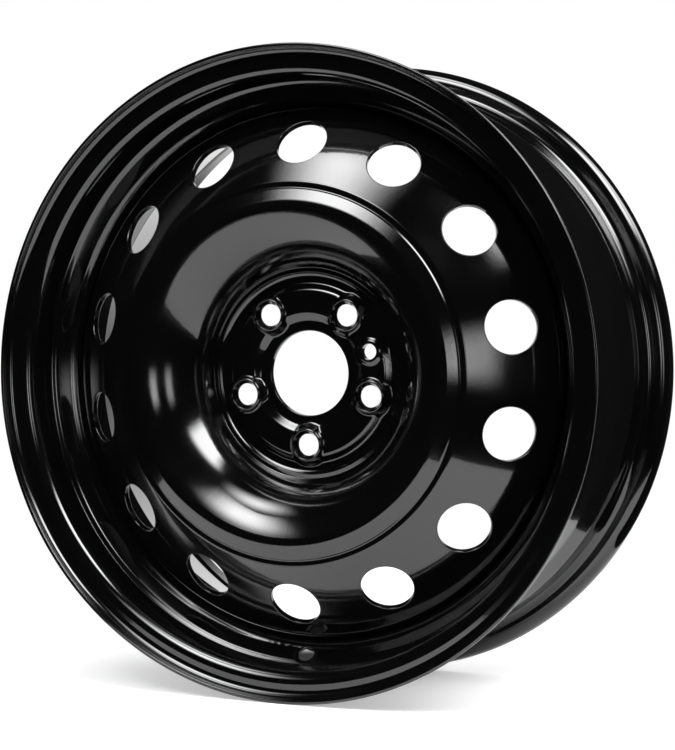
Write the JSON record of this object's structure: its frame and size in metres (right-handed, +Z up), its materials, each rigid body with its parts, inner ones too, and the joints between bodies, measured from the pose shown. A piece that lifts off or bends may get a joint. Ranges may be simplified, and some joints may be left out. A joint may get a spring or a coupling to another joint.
{
  "type": "steel wheel rim",
  "caption": "Pressed steel road wheel: rolled drop-centre rim with a stamped, vented disc welded inside, bored and drilled to bolt to a hub, in gloss black paint.",
  "frame": {"origin": "wheel centre: the axis at the rim's middle plane", "axes": "+Y along the wheel's axis towards the vehicle, -Y the street side, +Z up, valve hole down"},
  "size_m": [0.4408, 0.1728, 0.4406],
  "materials": {
    "rim_paint": "gloss black coat on rolled steel",
    "disc_paint": "gloss black coat on stamped steel",
    "weld_paint": "black coat over a rippled weld seam"
  },
  "bodies": {
    "root": {"rim": "rim_paint", "disc": "disc_paint", "weld_seams": "weld_paint"}
  },
  "joints": []
}
